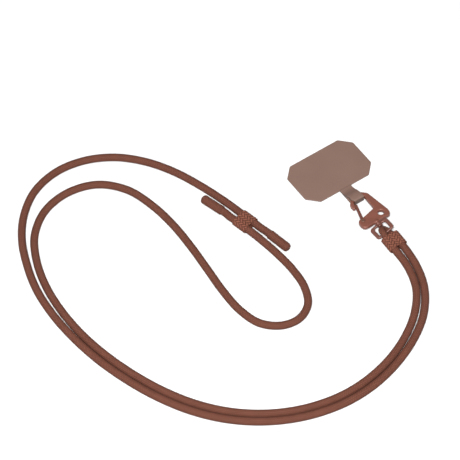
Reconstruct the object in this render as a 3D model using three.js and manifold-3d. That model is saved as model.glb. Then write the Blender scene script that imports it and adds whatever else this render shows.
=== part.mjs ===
// A crossbody strap of doubled round cord, laid out on a flat surface.
// The cord ends in a bight that is held in a swivel stirrup. The stirrup turns on a flat snap clasp,
// and the clasp carries a thin tether tab.
// Millimetres, +Z up. The surface is z = 0 and +X runs from the tab through the clasp to the cord.
import * as THREE from 'three';
import { mergeVertices } from 'three/addons/utils/BufferGeometryUtils.js';
import Module from 'manifold-3d';

const wasm = await Module();
wasm.setup();

const GAP = 0.3;

// Tether tab: an octagonal patch with a neck that doubles back round the clasp's top bar.
const PATCH_LENGTH = 42.45;
const PATCH_WIDTH = 65;
const PATCH_CHAMFER = 9;
const PATCH_END_X = -7;
const TAB_THICKNESS = 1;
const NECK_WIDTH = 10.6;
const LOOP_END_X = 11.3;

// Snap clasp: a flat cast plate that lies a little nose-down, tail-up on the cord's bight.
const PLATE_THICKNESS = 3.4;
const PLATE_BEVEL = 0.5;
const PLATE_PITCH = 3;
const PLATE_HEIGHT_AT_ZERO = 2.76;
const HOLE = { x: 30.8, y: 6.5, radius: 2.6 };

// Gate: a sprung bar in a slot of the clasp's lobe, on a rivet.
const PIVOT = { x: 29.8, y: -9.7 };
const GATE_TIP = { x: 12.9, y: -4.05 };
const GATE_WIDTH = 1.8;
const GATE_THICKNESS = 1.4;
const GATE_EYE_RADIUS = 2.2;
const RIVET_RADIUS = 1;
const RIVET_HEAD_RADIUS = 1.8;
const RIVET_HEAD_HEIGHT = 0.5;

// Swivel: a headed pin in the clasp's barrel, on which the stirrup turns.
const SWIVEL_Y = -1.1;
const BARREL = { start: 32.2, end: 37.5, radius: 2.5 };
const PIN_RADIUS = 1.1;
const PIN_HEAD = { start: 40.8, end: 41.7, radius: 2.1 };
const STIRRUP = { start: 37.8, end: 49.4, width: 16.4, thickness: 1.8, arm: 2.4, bar: 1.8 };
const STIRRUP_EYE_RADIUS = 2.4;
const STIRRUP_TURN = 20;

// Cord: 6 mm round rope. It is squeezed a little where it bends round the stirrup's bar.
const CORD_RADIUS = 3;
const CORD_SIDES = 10;
const FOLD_RADIUS = 2.5;
const FOLD_HALF_SPREAD = 3.3;
const FOLD_RISE = 2.74;
const FOLD_APEX_X = 44.7;
const PAIR_HALF_SPREAD = 3.4;

// Sleeves on the cord.
const CUFF = { x: 52.6, y: SWIVEL_Y, length: 12.4, width: 15.8, height: 8.4, spread: 3.3, frontZ: 5.25, backZ: 4.3 };
const ADJUSTER = { x: -23, y: -85.4, turn: 13.3, length: 12.6, width: 15.8, height: 8.4, spread: 4, z: 4.2 };
const TIP = { length: 20, radius: 3.5 };

// The doubled cord's middle line, from the cuff round to where the two strands part.
const PAIR_ROUTE = [
  [84, -3.1], [104.5, -10.6], [122.3, -25.2], [135.5, -44], [145.2, -66], [150.9, -90], [151.9, -114],
  [147.9, -138], [139.8, -160.1], [127.7, -180.7], [111.4, -199.5], [91.9, -215.1], [69.2, -227.9],
  [44.6, -237.9], [18.6, -245.5], [-8, -250.1],
];
// The outer strand goes on round the left and comes to the adjuster from the far side.
const OUTER_ROUTE = [
  [-35, -255.1], [-62, -253], [-86, -246.7], [-109, -237], [-128.3, -222.8], [-143, -203.3],
  [-149.2, -179], [-145.8, -154.9], [-134.5, -133.2], [-117.1, -115.9], [-96, -103], [-71, -93.1],
  [-48, -86.3],
];
// The inner strand goes on round a smaller loop and comes to the adjuster from the clasp's side.
const INNER_ROUTE = [
  [-35, -247.9], [-60.6, -245.4], [-84.8, -238.6], [-106.3, -226.9], [-121.5, -208], [-126.6, -184],
  [-120.1, -160.1], [-102.3, -143.5], [-78.1, -135.7], [-53, -132.8], [-28, -133], [-3, -134.7],
  [21, -136.4], [43, -135.7], [60.7, -130.2], [71.8, -118], [74.5, -103.5], [68, -90.5], [53.2, -82.9],
  [34, -80.8], [12.5, -82.3],
];
// The two loose ends past the adjuster: the tips' root points and directions in degrees.
const OUTER_TIP = { x: -2.6, y: -76.1, turn: 11.3 };
const INNER_TIP = { x: -41.9, y: -93.7, turn: 196.8 };
// How far beside the adjuster's axis each strand runs, 8 mm before it goes in.
const OUTER_APPROACH = 4.6;
const INNER_APPROACH = -3.8;

const COLOURS = {
  tab: { color: 0x8a6b60, roughness: 0.62, metalness: 0 },
  clasp: { color: 0x8f5644, roughness: 0.38, metalness: 0.25 },
  cord: { color: 0x7a4a3a, roughness: 0.85, metalness: 0 },
};

const radians = THREE.MathUtils.degToRad;
const group = new THREE.Group();

function toSolid(geometry) {
  const bare = geometry.clone();
  bare.deleteAttribute('normal');
  bare.deleteAttribute('uv');
  const merged = mergeVertices(bare, 1e-4);
  return new wasm.Manifold(new wasm.Mesh({
    numProp: 3,
    vertProperties: new Float32Array(merged.attributes.position.array),
    triVerts: new Uint32Array(merged.index.array),
  }));
}

function toGeometry(solid) {
  const mesh = solid.getMesh();
  const geometry = new THREE.BufferGeometry();
  geometry.setAttribute('position', new THREE.BufferAttribute(mesh.vertProperties, 3));
  geometry.setIndex(new THREE.BufferAttribute(mesh.triVerts, 1));
  geometry.computeVertexNormals();
  return geometry;
}

function piece(name, geometry, finish, parent = group) {
  const mesh = new THREE.Mesh(geometry, new THREE.MeshStandardMaterial(COLOURS[finish]));
  mesh.name = name;
  parent.add(mesh);
  return mesh;
}

// A closed outline through corner points [x, y, rounding], each corner eased by its rounding.
function easedOutline(corners, Kind = THREE.Shape) {
  const outline = new Kind();
  corners.forEach(([x, y, rounding], i) => {
    const corner = new THREE.Vector2(x, y);
    const before = new THREE.Vector2(...corners.at(i - 1).slice(0, 2));
    const after = new THREE.Vector2(...corners[(i + 1) % corners.length].slice(0, 2));
    const into = before.sub(corner).setLength(rounding).add(corner);
    const out = after.sub(corner).setLength(rounding).add(corner);
    if (i === 0) outline.moveTo(into.x, into.y);
    else outline.lineTo(into.x, into.y);
    outline.quadraticCurveTo(x, y, out.x, out.y);
  });
  outline.closePath();
  return outline;
}

function disc(x, y, radius, Kind = THREE.Shape) {
  const circle = new Kind();
  circle.absarc(x, y, radius, 0, Math.PI * 2);
  return circle;
}

// A slab of the outline, centred on z = 0, whose edges are bevelled inside the outline.
function slab(shape, thickness, bevel = 0, curveSegments = 4) {
  const geometry = new THREE.ExtrudeGeometry(shape, {
    depth: thickness - 2 * bevel,
    bevelEnabled: bevel > 0,
    bevelThickness: bevel,
    bevelSize: bevel,
    bevelOffset: -bevel,
    bevelSegments: 2,
    curveSegments,
  });
  return geometry.translate(0, 0, bevel - thickness / 2);
}

// A round bar along +X between two stations.
function barAlongX(start, end, radius, sides = 20) {
  const geometry = new THREE.CylinderGeometry(radius, radius, end - start, sides);
  return geometry.rotateZ(Math.PI / 2).translate((start + end) / 2, 0, 0);
}

// A cord's centre line. Its sections stand at the route's own points.
class CordLine extends THREE.CatmullRomCurve3 {
  getUtoTmapping(u) {
    return u;
  }
}

function cord(points, radius, steps = points.length - 1) {
  const section = new THREE.Shape();
  for (let i = 0; i < CORD_SIDES; i++) {
    const angle = (i + 0.5) * Math.PI * 2 / CORD_SIDES;
    if (i === 0) section.moveTo(radius * Math.cos(angle), radius * Math.sin(angle));
    else section.lineTo(radius * Math.cos(angle), radius * Math.sin(angle));
  }
  section.closePath();
  return new THREE.ExtrudeGeometry(section, {
    steps,
    bevelEnabled: false,
    extrudePath: new CordLine(points, false, 'centripetal'),
  });
}

// Clasp and stirrup share one frame: its origin is the plate's middle plane at x = 0.
const clasp = new THREE.Group();
clasp.position.z = PLATE_HEIGHT_AT_ZERO;
clasp.rotation.y = -radians(PLATE_PITCH);
group.add(clasp);

// Tether tab. The neck's two layers part to pass under and over the clasp's top bar.
{
  const half = PATCH_WIDTH / 2;
  const far = PATCH_END_X - PATCH_LENGTH;
  const patch = slab(easedOutline([
    [PATCH_END_X, half - PATCH_CHAMFER, 1], [PATCH_END_X - PATCH_CHAMFER, half, 1],
    [far + PATCH_CHAMFER, half, 1], [far, half - PATCH_CHAMFER, 1],
    [far, PATCH_CHAMFER - half, 1], [far + PATCH_CHAMFER, -half, 1],
    [PATCH_END_X - PATCH_CHAMFER, -half, 1], [PATCH_END_X, PATCH_CHAMFER - half, 1],
  ]), TAB_THICKNESS).translate(0, 0, TAB_THICKNESS / 2);

  // The loop is drawn from the side: x along the strap, the second number is the height.
  const t = TAB_THICKNESS;
  const end = LOOP_END_X;
  const side = easedOutline([
    [PATCH_END_X - 2, 0, 0.2], [end, 0, 1.6], [end, 6.3, 1.4], [4.6, 6.0, 1.2],
    [-1.2, 2 * t, 0.8], [PATCH_END_X, 2 * t, 0.4], [PATCH_END_X, t, 0.1], [PATCH_END_X - 2, t, 0.2],
  ]);
  side.holes.push(easedOutline([
    [0.6, t, 0.1], [4.9, 4.9, 0.8], [end - t, 5.3, 0.5], [end - t, t, 0.3],
  ], THREE.Path));
  const neck = slab(side, NECK_WIDTH).rotateX(Math.PI / 2);
  // Seen from above, one corner of the loop is cut back to clear the plate's nose.
  const plan = slab(easedOutline([
    [PATCH_END_X - 3, -7, 0.1], [6.6, -7, 0.1], [10.2, -3.9, 0.4], [13, -3.9, 0.1], [13, 7, 0.1],
    [PATCH_END_X - 3, 7, 0.1],
  ]), 20);
  const loop = toSolid(neck).intersect(toSolid(plan));
  piece('tether_tab', toGeometry(toSolid(patch).add(loop)), 'tab');
}

// Clasp plate: a hook that opens on the gate's side, with a hole and a barrel for the swivel pin.
{
  const outline = easedOutline([
    [4.9, 5.6, 1], [8.8, 9.9, 1.4], [32.4, 13.2, 2], [36.5, 11.5, 2.2], [35.6, 7.6, 1.2],
    [35.9, -13.6, 4.2], [26.4, -13.6, 4.4], [26.9, -8.2, 0.8], [23.9, 5.4, 1], [10, 6.3, 1],
    [10, -4.3, 0.6], [16.4, -6.7, 1], [15.6, -8.9, 1.2], [10.6, -8.8, 1.6], [6.9, -5, 1.6],
  ]);
  outline.holes.push(disc(HOLE.x, HOLE.y, HOLE.radius, THREE.Path));
  const slot = easedOutline([
    [30.4, -12.6, 0.1], [22, -12.6, 0.1], [22, -2, 0.1], [26.2, -2, 0.1], [32.2, -7.8, 0.4], [33.2, -10.2, 0.4],
  ]);
  const plate = toSolid(slab(outline, PLATE_THICKNESS, PLATE_BEVEL))
    .add(toSolid(barAlongX(BARREL.start, BARREL.end, BARREL.radius).translate(0, SWIVEL_Y, 0)))
    .subtract(toSolid(slab(slot, GATE_THICKNESS + 2 * GAP)))
    .subtract(toSolid(slab(disc(PIVOT.x, PIVOT.y, RIVET_RADIUS + GAP), PLATE_THICKNESS + 2)))
    .subtract(toSolid(barAlongX(BARREL.end - 3.5, BARREL.end + 1, PIN_RADIUS + GAP).translate(0, SWIVEL_Y, 0)));
  piece('clasp_plate', toGeometry(plate), 'clasp', clasp);
}

// Gate: a flat bar from its eye on the rivet to a tip that lies against the inside of the nose.
{
  const reach = new THREE.Vector2(GATE_TIP.x - PIVOT.x, GATE_TIP.y - PIVOT.y);
  const length = reach.length();
  const bar = easedOutline([
    [0, -GATE_WIDTH / 2, 0.1], [0, GATE_WIDTH / 2, 0.1],
    [length, GATE_WIDTH / 2, 0.6], [length, -GATE_WIDTH / 2, 0.6],
  ]);
  const blade = slab(bar, GATE_THICKNESS).rotateZ(reach.angle()).translate(PIVOT.x, PIVOT.y, 0);
  const gate = toSolid(blade)
    .add(toSolid(slab(disc(PIVOT.x, PIVOT.y, GATE_EYE_RADIUS), GATE_THICKNESS)))
    .subtract(toSolid(slab(disc(PIVOT.x, PIVOT.y, RIVET_RADIUS + GAP), GATE_THICKNESS + 1)));
  piece('clasp_gate', toGeometry(gate), 'clasp', clasp);
}

// Gate rivet: a pin with a low head on each face of the lobe.
{
  const under = PLATE_THICKNESS / 2 + GAP;
  const top = under + RIVET_HEAD_HEIGHT;
  const profile = [
    [0, -top], [RIVET_HEAD_RADIUS * 0.7, -top], [RIVET_HEAD_RADIUS, -under - 0.15],
    [RIVET_HEAD_RADIUS, -under], [RIVET_RADIUS, -under], [RIVET_RADIUS, under],
    [RIVET_HEAD_RADIUS, under], [RIVET_HEAD_RADIUS, under + 0.15], [RIVET_HEAD_RADIUS * 0.7, top], [0, top],
  ].map(([r, h]) => new THREE.Vector2(r, h));
  const rivet = new THREE.LatheGeometry(profile, 20).rotateX(Math.PI / 2).translate(PIVOT.x, PIVOT.y, 0);
  piece('gate_rivet', toGeometry(toSolid(rivet)), 'clasp', clasp);
}

// Swivel pin: its tail is held in the barrel and its head keeps the stirrup on.
{
  const pin = toSolid(barAlongX(BARREL.end - 3.2, PIN_HEAD.start + 0.2, PIN_RADIUS))
    .add(toSolid(barAlongX(PIN_HEAD.start, PIN_HEAD.end, PIN_HEAD.radius)));
  piece('swivel_pin', toGeometry(pin), 'clasp', clasp).position.y = SWIVEL_Y;
}

// Stirrup: a flat frame with an eye for the pin, turned a little about the pin.
{
  const { start, end, width, thickness, arm, bar } = STIRRUP;
  const half = width / 2;
  const frame = easedOutline([
    [start, -half, 4], [end, -half, 3], [end, half, 3], [start, half, 4],
  ]);
  const open = half - arm;
  frame.holes.push(easedOutline([
    [start + 2.6, open, 2], [end - bar, open, 1.4], [end - bar, -open, 1.4], [start + 2.6, -open, 2],
  ], THREE.Path));
  const stirrup = toSolid(slab(frame, thickness, 0.35))
    .add(toSolid(barAlongX(start, start + 2.7, STIRRUP_EYE_RADIUS)))
    .subtract(toSolid(barAlongX(start - 1, start + 3.5, PIN_RADIUS + GAP)));
  const mesh = piece('swivel_stirrup', toGeometry(stirrup), 'clasp', clasp);
  mesh.rotation.x = radians(STIRRUP_TURN);
  mesh.position.y = SWIVEL_Y;
}

// Cord bight: it goes under the stirrup's bar on one side and comes back over it on the other.
// Its two legs come level with each other on their way through the cuff.
const cuffPitch = Math.atan2(CUFF.frontZ - CUFF.backZ, CUFF.length);
{
  const barZ = CUFF.frontZ;
  const drop = (along) => -along * Math.tan(cuffPitch);
  const legs = (sideways) => {
    const y = sideways * FOLD_HALF_SPREAD;
    const rise = -sideways * FOLD_RISE;
    return [
      [CUFF.x + CUFF.length - 0.4, y, barZ + drop(12)], [CUFF.x + 4, y, barZ + drop(4) + rise * 0.15],
      [CUFF.x + 0.6, y, barZ + rise * 0.27], [51.2, y, barZ + rise * 0.53], [49.6, y, barZ + rise * 0.95],
      [48, y, barZ + rise], [46.3, y * 0.82, barZ + rise * 0.82], [45.1, y * 0.45, barZ + rise * 0.45],
    ];
  };
  const line = [...legs(1), [FOLD_APEX_X, 0, barZ], ...legs(-1).reverse()].map(([x, y, z]) => [x, CUFF.y + y, z]);
  piece('cord_fold', cord(line.map((p) => new THREE.Vector3(...p)), FOLD_RADIUS), 'cord');
}

// A sleeve over two strands side by side: a rounded body along +X from x = 0, with two bores.
// The slant lowers one bore and raises the other towards the front.
function sleeve({ length, width, height, spread }, boreRadius, slant = 0) {
  const shape = new THREE.Shape();
  const half = height / 2;
  const centre = width / 2 - half;
  shape.absarc(centre, 0, half, -Math.PI / 2, Math.PI / 2);
  shape.absarc(-centre, 0, half, Math.PI / 2, Math.PI * 1.5);
  shape.closePath();
  const body = slab(shape, length, 0, 8).translate(0, 0, length / 2);
  let solid = toSolid(body.rotateX(Math.PI / 2).rotateZ(Math.PI / 2));
  for (const side of [1, -1]) {
    const bore = barAlongX(-length - 1, 1, boreRadius, 24).rotateY(-side * slant);
    solid = solid.subtract(toSolid(bore.translate(length, side * spread, 0)));
  }
  return toGeometry(solid);
}

// Cuff: the whipping that holds the bight closed.
{
  const cuff = piece('cord_cuff', sleeve(CUFF, FOLD_RADIUS + 0.5, radians(2.8)), 'cord');
  cuff.position.set(CUFF.x, CUFF.y, CUFF.frontZ);
  cuff.rotation.y = cuffPitch;
}

// Adjuster: the sliding sleeve that both strands run through.
{
  const adjuster = piece('adjuster', sleeve(ADJUSTER, CORD_RADIUS + GAP), 'cord');
  adjuster.rotation.z = radians(ADJUSTER.turn);
  adjuster.position.set(ADJUSTER.x, ADJUSTER.y, ADJUSTER.z);
  adjuster.translateX(-ADJUSTER.length / 2);
}

// Points beside the pair's middle line, to its left for a positive distance.
function besidePair(distance) {
  return PAIR_ROUTE.map(([x, y], i) => {
    const [x0, y0] = PAIR_ROUTE[Math.max(i - 1, 0)];
    const [x1, y1] = PAIR_ROUTE[Math.min(i + 1, PAIR_ROUTE.length - 1)];
    const along = new THREE.Vector2(x1 - x0, y1 - y0).normalize();
    return [x - along.y * distance, y + along.x * distance];
  });
}

// A point in or near the adjuster: along its axis, and to its left.
function atAdjuster(along, left, z = ADJUSTER.z) {
  const angle = radians(ADJUSTER.turn);
  return [
    ADJUSTER.x + along * Math.cos(angle) - left * Math.sin(angle),
    ADJUSTER.y + along * Math.sin(angle) + left * Math.cos(angle),
    z,
  ];
}

// The strands: from the cuff to the adjuster on the table, with a short rise at both ends.
{
  const cuffBack = CUFF.x + CUFF.length + GAP;
  const mouth = ADJUSTER.length / 2 + GAP;
  const strands = [
    { name: 'cord_outer', side: 1, route: OUTER_ROUTE, entry: -1, approach: OUTER_APPROACH, tip: OUTER_TIP },
    { name: 'cord_inner', side: -1, route: INNER_ROUTE, entry: 1, approach: INNER_APPROACH, tip: INNER_TIP },
  ];
  for (const { name, side, route, entry, approach, tip } of strands) {
    const spread = side * ADJUSTER.spread;
    const table = [...besidePair(side * PAIR_HALF_SPREAD), ...route].map(([x, y]) => [x, y, CORD_RADIUS]);
    const line = [
      [cuffBack, CUFF.y + side * PAIR_HALF_SPREAD, CUFF.backZ - 0.05],
      ...table,
      atAdjuster(entry * (mouth + 8), approach, 3.5),
      atAdjuster(entry * mouth, spread),
    ];
    piece(name, cord(line.map((p) => new THREE.Vector3(...p)), CORD_RADIUS), 'cord');

    const root = [tip.x, tip.y, TIP.radius];
    const lead = 3;
    const end = [
      atAdjuster(entry * (ADJUSTER.length / 2 - 0.2), spread),
      atAdjuster(0, spread),
      atAdjuster(-entry * ADJUSTER.length / 2, spread),
      atAdjuster(-entry * (ADJUSTER.length / 2 + 6), spread * 1.02, 3.85),
      [tip.x - lead * Math.cos(radians(tip.turn)), tip.y - lead * Math.sin(radians(tip.turn)), TIP.radius],
      root,
    ];
    piece(name + '_end', cord(end.map((p) => new THREE.Vector3(...p)), CORD_RADIUS), 'cord');

    // Tip: a closed sleeve on the end of the cord.
    const sleeveEnd = new THREE.LatheGeometry([
      [0, 0], [TIP.radius, 0], [TIP.radius, TIP.length - 0.8], [TIP.radius - 0.8, TIP.length], [0, TIP.length],
    ].map(([r, h]) => new THREE.Vector2(r, h)), 16);
    const solid = piece(name.replace('cord', 'tip'), toGeometry(toSolid(sleeveEnd.rotateZ(-Math.PI / 2))), 'cord');
    solid.rotation.z = radians(tip.turn);
    solid.position.set(...root);
    solid.translateX(GAP);
  }
}

export default group;
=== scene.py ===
# A crossbody strap of doubled round cord, laid out on a pale surface: a braided cord with a sliding
# adjuster, a swivel snap clasp and a thin tether tab. Metres, +Z up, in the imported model's frame.
import math

import bmesh
import bpy
import numpy as np
from mathutils import Matrix, Vector


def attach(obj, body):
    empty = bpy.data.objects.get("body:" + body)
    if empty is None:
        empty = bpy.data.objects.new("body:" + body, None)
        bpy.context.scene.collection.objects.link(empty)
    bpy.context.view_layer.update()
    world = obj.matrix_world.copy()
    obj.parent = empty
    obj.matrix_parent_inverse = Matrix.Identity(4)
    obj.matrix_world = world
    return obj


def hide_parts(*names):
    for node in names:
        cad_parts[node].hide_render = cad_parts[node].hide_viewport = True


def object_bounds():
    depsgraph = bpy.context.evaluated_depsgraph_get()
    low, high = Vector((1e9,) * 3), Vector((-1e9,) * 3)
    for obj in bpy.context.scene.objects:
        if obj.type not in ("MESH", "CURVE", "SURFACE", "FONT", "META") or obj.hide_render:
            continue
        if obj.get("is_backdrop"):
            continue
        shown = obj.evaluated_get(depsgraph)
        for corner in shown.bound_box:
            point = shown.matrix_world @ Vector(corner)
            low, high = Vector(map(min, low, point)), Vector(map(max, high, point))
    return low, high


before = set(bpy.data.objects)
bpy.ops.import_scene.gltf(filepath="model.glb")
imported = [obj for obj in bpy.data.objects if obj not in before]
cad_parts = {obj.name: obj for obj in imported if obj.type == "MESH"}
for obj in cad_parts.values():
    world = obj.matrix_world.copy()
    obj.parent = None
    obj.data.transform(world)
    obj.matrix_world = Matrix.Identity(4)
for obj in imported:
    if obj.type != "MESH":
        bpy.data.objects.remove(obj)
cad_low, cad_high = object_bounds()
scene = bpy.context.scene
MM = 0.001

# The camera looks down at the strap from the loop's side, from far off, as a product picture is taken.
CAMERA_TARGET = Vector((-0.02565, -0.0978, 0))
CAMERA_AZIMUTH = math.radians(55.3)
CAMERA_ELEVATION = math.radians(54)
CAMERA_DISTANCE = 1.875
camera_data = bpy.data.cameras.new("camera")
camera_data.sensor_width = 36
camera_data.lens = 187.8
camera = bpy.data.objects.new("camera", camera_data)
scene.collection.objects.link(camera)
scene.camera = camera
towards_camera = Vector((
    math.sin(CAMERA_AZIMUTH) * math.cos(CAMERA_ELEVATION),
    -math.cos(CAMERA_AZIMUTH) * math.cos(CAMERA_ELEVATION),
    math.sin(CAMERA_ELEVATION),
))
camera.location = CAMERA_TARGET + towards_camera * CAMERA_DISTANCE
camera.rotation_euler = (-towards_camera).to_track_quat("-Z", "Y").to_euler()

# The floor is a plain white sheet that the strap lies on, lit a little from below as a light table is.
FLOOR_HALF, FLOOR_LEVEL, FLOOR_GLOW = 4, -0.0003, 0.12
floor_material = bpy.data.materials.new("white_floor")
floor_material.use_nodes = True
floor_shader = floor_material.node_tree.nodes["Principled BSDF"]
floor_shader.inputs["Base Color"].default_value = (0.5, 0.5, 0.5, 1)
floor_shader.inputs["Emission Color"].default_value = (1, 1, 1, 1)
floor_shader.inputs["Emission Strength"].default_value = FLOOR_GLOW
floor_shader.inputs["Roughness"].default_value = 0.9
floor_shader.inputs["Specular IOR Level"].default_value = 0.1
floor_mesh = bpy.data.meshes.new("floor")
floor_corners = [
    (x * FLOOR_HALF, y * FLOOR_HALF, FLOOR_LEVEL) for x, y in ((-1, -1), (1, -1), (1, 1), (-1, 1))
]
floor_mesh.from_pydata(floor_corners, [], [(0, 1, 2, 3)])
floor_mesh.materials.append(floor_material)
floor = bpy.data.objects.new("floor", floor_mesh)
scene.collection.objects.link(floor)
floor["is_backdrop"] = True

# Soft studio light: a white sky, bright overhead and dimmer at the horizon, a key softbox on the camera's
# side, and two weak softboxes that fill the other sides.
SKY_OVERHEAD, SKY_HORIZON = 0.38, 0.06
sky = bpy.data.worlds.new("studio")
sky.use_nodes = True
sky_nodes, sky_links = sky.node_tree.nodes, sky.node_tree.links
sky_direction = sky_nodes.new("ShaderNodeTexCoord")
sky_height = sky_nodes.new("ShaderNodeSeparateXYZ")
sky_links.new(sky_direction.outputs["Generated"], sky_height.inputs[0])
sky_level = sky_nodes.new("ShaderNodeMapRange")
sky_level.inputs["To Min"].default_value = SKY_HORIZON
sky_level.inputs["To Max"].default_value = SKY_OVERHEAD
sky_links.new(sky_height.outputs[2], sky_level.inputs["Value"])
sky_links.new(sky_level.outputs[0], sky_nodes["Background"].inputs["Strength"])
sky_nodes["Background"].inputs["Color"].default_value = (1, 1, 1, 1)
scene.world = sky
scene.view_settings.view_transform = "Standard"
for name, place, size, power in [
    ("softbox_key", (0.72, -0.68, 1.42), 0.5, 66.0),
    ("softbox_left", (-1.0, -0.7, 0.9), 0.8, 3.0),
    ("softbox_back", (0.7, 1.0, 0.9), 0.8, 2.5),
]:
    light_data = bpy.data.lights.new(name, "AREA")
    light_data.size = size
    light_data.energy = power
    light = bpy.data.objects.new(name, light_data)
    scene.collection.objects.link(light)
    light.location = place
    light.rotation_euler = (CAMERA_TARGET - Vector(place)).to_track_quat("-Z", "Y").to_euler()

# Cord: one length of 6 mm round polyester rope, braided from 14 yarns each way and doubled at the clasp.
# Both strands run round the table side by side, part, and come back through the adjuster from its two ends.
CORD_RADIUS, CORD_LEVEL = 0.00308, 0.003
CORD_SIDES = 56
YARNS = 14
BRAID_PITCH = 0.0225
BRAID_RELIEF = 0.0003
# The last of these numbers is how dark the painted shade between the yarns gets, as a share of the colour.
YARN_CROWN, YARN_LIFT, YARN_PAINTED_SHADE = 0.58, 0.42, 0.25
MERGE_DISTANCE = 0.000002
PAIR_HALF_SPREAD = 0.00332
# How far each strand moves out from that spread at some of the pair's points, by the point's number.
PAIR_OPENING = {0: 0.00005, 1: -0.00015, 2: 0.0001, 4: -0.0001}
PAIR_ROUTE = [
    (0.084, -0.0031), (0.1045, -0.0106), (0.1223, -0.0252), (0.1355, -0.044), (0.1452, -0.066),
    (0.1509, -0.09), (0.1519, -0.114), (0.1479, -0.138), (0.1398, -0.1601), (0.1277, -0.1807),
    (0.1114, -0.1995), (0.0919, -0.2151), (0.0692, -0.2279), (0.0446, -0.2379), (0.0186, -0.2455),
    (-0.008, -0.2501),
]
OUTER_ROUTE = [
    (-0.035, -0.2551), (-0.062, -0.253), (-0.086, -0.2467), (-0.109, -0.237), (-0.1283, -0.2228),
    (-0.143, -0.2033), (-0.1492, -0.179), (-0.1458, -0.1549), (-0.1345, -0.1332), (-0.1171, -0.1159),
    (-0.096, -0.103), (-0.071, -0.0931), (-0.048, -0.0863),
]
INNER_ROUTE = [
    (-0.035, -0.2479), (-0.0606, -0.2454), (-0.0848, -0.2386), (-0.1063, -0.2269), (-0.1215, -0.208),
    (-0.1266, -0.184), (-0.1201, -0.1601), (-0.1023, -0.1435), (-0.0781, -0.1357), (-0.053, -0.1328),
    (-0.028, -0.133), (-0.003, -0.1347), (0.021, -0.1364), (0.043, -0.1357), (0.0607, -0.1302),
    (0.0718, -0.118), (0.0745, -0.1035), (0.068, -0.0905), (0.0532, -0.0829), (0.034, -0.0808),
    (0.0125, -0.0823),
]
CUFF_FRONT, CUFF_LENGTH, CUFF_SIDE = 0.0527, 0.0124, -0.0015
CUFF_FRONT_HEIGHT, CUFF_MIDDLE_HEIGHT, CUFF_BACK_HEIGHT = 0.00525, 0.00472, 0.0043
CUFF_BACK_SPREAD = 0.00365
ADJUSTER_CENTRE = Vector((-0.023, -0.0854, 0.0043))
ADJUSTER_TURN = math.radians(13.3)
ADJUSTER_LENGTH, ADJUSTER_SPREAD = 0.0126, 0.004
# Past the adjuster each strand ends in a tip, which starts at a root point with a direction in degrees.
TIP_ROOTS = {"outer": (-0.0026, -0.0761, 11.3), "inner": (-0.0419, -0.0937, 196.8)}
TIP_LENGTH, TIP_RADIUS = 0.020, 0.0037
ROUTE_STEPS, LINE_SPACING = 60, 0.002


def beside_pair(distance):
    """Points beside the pair's middle line, to its left for a positive distance."""
    points = []
    for i, (x, y) in enumerate(PAIR_ROUTE):
        x0, y0 = PAIR_ROUTE[max(i - 1, 0)]
        x1, y1 = PAIR_ROUTE[min(i + 1, len(PAIR_ROUTE) - 1)]
        along = Vector((x1 - x0, y1 - y0)).normalized()
        reach = math.copysign(abs(distance) + PAIR_OPENING.get(i, 0), distance)
        points.append((x - along.y * reach, y + along.x * reach))
    return points


def at_adjuster(along, left, height=ADJUSTER_CENTRE.z):
    """A point in or near the adjuster: along its axis, and to its left."""
    c, s = math.cos(ADJUSTER_TURN), math.sin(ADJUSTER_TURN)
    return (ADJUSTER_CENTRE.x + along * c - left * s, ADJUSTER_CENTRE.y + along * s + left * c, height)


def smooth_route(points, spacing):
    """A centripetal Catmull-Rom line through the points, as equally spaced points."""
    p = np.array([2 * np.array(points[0]) - points[1], *points, 2 * np.array(points[-1]) - points[-2]])
    dense = []
    for a, b, c, d in zip(p, p[1:], p[2:], p[3:]):
        ta, tb, tc = (max(np.linalg.norm(v - u) ** 0.5, 1e-6) for u, v in ((a, b), (b, c), (c, d)))
        start = ((b - a) / ta - (c - a) / (ta + tb) + (c - b) / tb) * tb
        stop = ((c - b) / tb - (d - b) / (tb + tc) + (d - c) / tc) * tb
        t = np.linspace(0, 1, ROUTE_STEPS, endpoint=False)[:, None]
        square, cube = 3 * (c - b) - 2 * start - stop, 2 * (b - c) + start + stop
        dense.append(b + start * t + square * t**2 + cube * t**3)
    line = np.vstack([*dense, [points[-1]]])
    reach = np.concatenate([[0], np.cumsum(np.linalg.norm(np.diff(line, axis=0), axis=1))])
    at = np.linspace(0, reach[-1], max(2, round(reach[-1] / spacing)) + 1)
    return np.column_stack([np.interp(at, reach, line[:, k]) for k in range(3)]), reach[-1]


def link(tree, value, socket):
    """Puts a number in a socket, or joins another socket to it."""
    if isinstance(value, bpy.types.NodeSocket):
        tree.links.new(value, socket)
    else:
        socket.default_value = value


def calculate(tree, operation, *values):
    """A math node on sockets or numbers."""
    node = tree.nodes.new("ShaderNodeMath")
    node.operation = operation
    for value, socket in zip(values, node.inputs):
        link(tree, value, socket)
    return node.outputs[0]


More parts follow.
